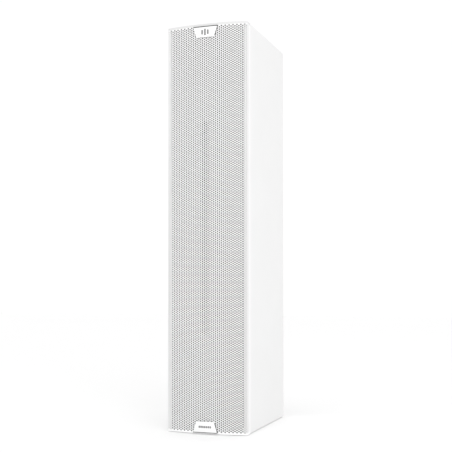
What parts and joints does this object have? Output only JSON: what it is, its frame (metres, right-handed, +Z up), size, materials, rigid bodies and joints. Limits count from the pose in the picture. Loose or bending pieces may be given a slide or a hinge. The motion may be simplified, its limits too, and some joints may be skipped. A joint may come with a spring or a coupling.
{
  "type": "line array speaker",
  "caption": "Tall white column loudspeaker with a bowed perforated front grille over a line of woofers and a slot waveguide, and a rear amplifier panel.",
  "frame": {"origin": "on the floor, under the centre of the overall bounding box", "axes": "+Z up along the column, front grille towards -Y, +X to the right of a person who looks at the front"},
  "size_m": [0.22, 0.36, 1.06],
  "materials": {
    "white_paint": "plywood under fine textured matt white paint",
    "white_powder_coat": "satin white powder coat on perforated steel",
    "white_foam": "open-cell acoustic foam",
    "white_plastic": "satin",
    "black_paint": "matt black paint on plywood",
    "bare_plywood": "bare birch plywood",
    "black_plastic": "satin",
    "black_metal": "satin black powder coat",
    "ferrite": "ferrite ring with plated steel plates",
    "cone_paper": "coated paper",
    "rubber": "matt",
    "spider_cloth": "resin-treated cloth",
    "aluminium": "machined or extruded",
    "zinc_steel": "zinc plated",
    "circuit_board": "solder mask",
    "cable_sheath": "matt",
    "copper": "enamelled copper wire"
  },
  "bodies": {
    "cabinet": {"cabinet": "white_paint", "front_baffle": "black_paint", "brace_upper": "bare_plywood", "brace_lower": "bare_plywood", "front_grille": "white_powder_coat", "grille_foam": "white_foam", "badge_top": "white_plastic", "badge_bottom": "white_plastic", "basket_1": "black_metal", "magnet_1": "ferrite", "surround_1": "rubber", "spider_1": "spider_cloth", "basket_2": "black_metal", "magnet_2": "ferrite", "surround_2": "rubber", "spider_2": "spider_cloth", "basket_3": "black_metal", "magnet_3": "ferrite", "surround_3": "rubber", "spider_3": "spider_cloth", "basket_4": "black_metal", "magnet_4": "ferrite", "surround_4": "rubber", "spider_4": "spider_cloth", "port_upper": "black_plastic", "port_lower": "black_plastic", "waveguide": "black_plastic", "throat_adapter": "aluminium", "hf_driver": "ferrite", "hf_rear_cover": "black_plastic", "amp_chassis": "zinc_steel", "amp_board": "circuit_board", "smps_transformer": "cable_sheath", "filter_capacitor": "cable_sheath", "output_inductor": "copper", "amp_plate": "black_metal", "heat_sink": "aluminium", "xlr_input": "black_plastic", "xlr_link": "black_plastic", "mains_inlet": "black_plastic", "handle_cup": "black_plastic", "handle_bar": "black_metal", "pole_socket": "black_metal", "foot_front_left": "rubber", "foot_front_right": "rubber", "foot_rear_left": "rubber", "foot_rear_right": "rubber", "flying_screw_top": "zinc_steel", "flying_screw_rear": "zinc_steel"},
    "woofer_cone_1": {"cone_1": "cone_paper"},
    "woofer_cone_2": {"cone_2": "cone_paper"},
    "woofer_cone_3": {"cone_3": "cone_paper"},
    "woofer_cone_4": {"cone_4": "cone_paper"},
    "gain_knob": {"gain_knob": "black_plastic"},
    "encoder_shaft": {"encoder_shaft": "zinc_steel"},
    "dsp_knob": {"dsp_knob": "black_plastic"},
    "mute_button": {"mute_button": "rubber"},
    "power_rocker": {"power_rocker": "black_plastic"},
    "input_latch": {"xlr_latch": "zinc_steel"}
  },
  "joints": [
    {"name": "cone_travel_1", "type": "slide", "parent": "cabinet", "child": "woofer_cone_1", "axis": [0, -1, 0], "range_m": [-0.003, 0.003], "stiffness_N_per_m": 1800},
    {"name": "cone_travel_2", "type": "slide", "parent": "cabinet", "child": "woofer_cone_2", "axis": [0, -1, 0], "range_m": [-0.003, 0.003], "stiffness_N_per_m": 1800},
    {"name": "cone_travel_3", "type": "slide", "parent": "cabinet", "child": "woofer_cone_3", "axis": [0, -1, 0], "range_m": [-0.003, 0.003], "stiffness_N_per_m": 1800},
    {"name": "cone_travel_4", "type": "slide", "parent": "cabinet", "child": "woofer_cone_4", "axis": [0, -1, 0], "range_m": [-0.003, 0.003], "stiffness_N_per_m": 1800},
    {"name": "gain_turn", "type": "hinge", "parent": "cabinet", "child": "gain_knob", "pos_m": [-0.032, 0.1533, 0.49], "axis": [0, 1, 0], "range_deg": [-150, 150]},
    {"name": "encoder_push", "type": "slide", "parent": "cabinet", "child": "encoder_shaft", "axis": [0, -1, 0], "range_m": [0, 0.0005], "stiffness_N_per_m": 2000},
    {"name": "encoder_turn", "type": "hinge", "parent": "encoder_shaft", "child": "dsp_knob", "pos_m": [0.032, 0.1533, 0.49], "axis": [0, 1, 0], "continuous": true},
    {"name": "mute_press", "type": "slide", "parent": "cabinet", "child": "mute_button", "axis": [0, -1, 0], "range_m": [0, 0.0015], "stiffness_N_per_m": 900},
    {"name": "rocker_tilt", "type": "hinge", "parent": "cabinet", "child": "power_rocker", "pos_m": [0, 0.1536, 0.165], "axis": [1, 0, 0], "range_deg": [-16, 0]},
    {"name": "latch_press", "type": "slide", "parent": "cabinet", "child": "input_latch", "axis": [0, -1, 0], "range_m": [0, 0.002], "stiffness_N_per_m": 1200}
  ]
}
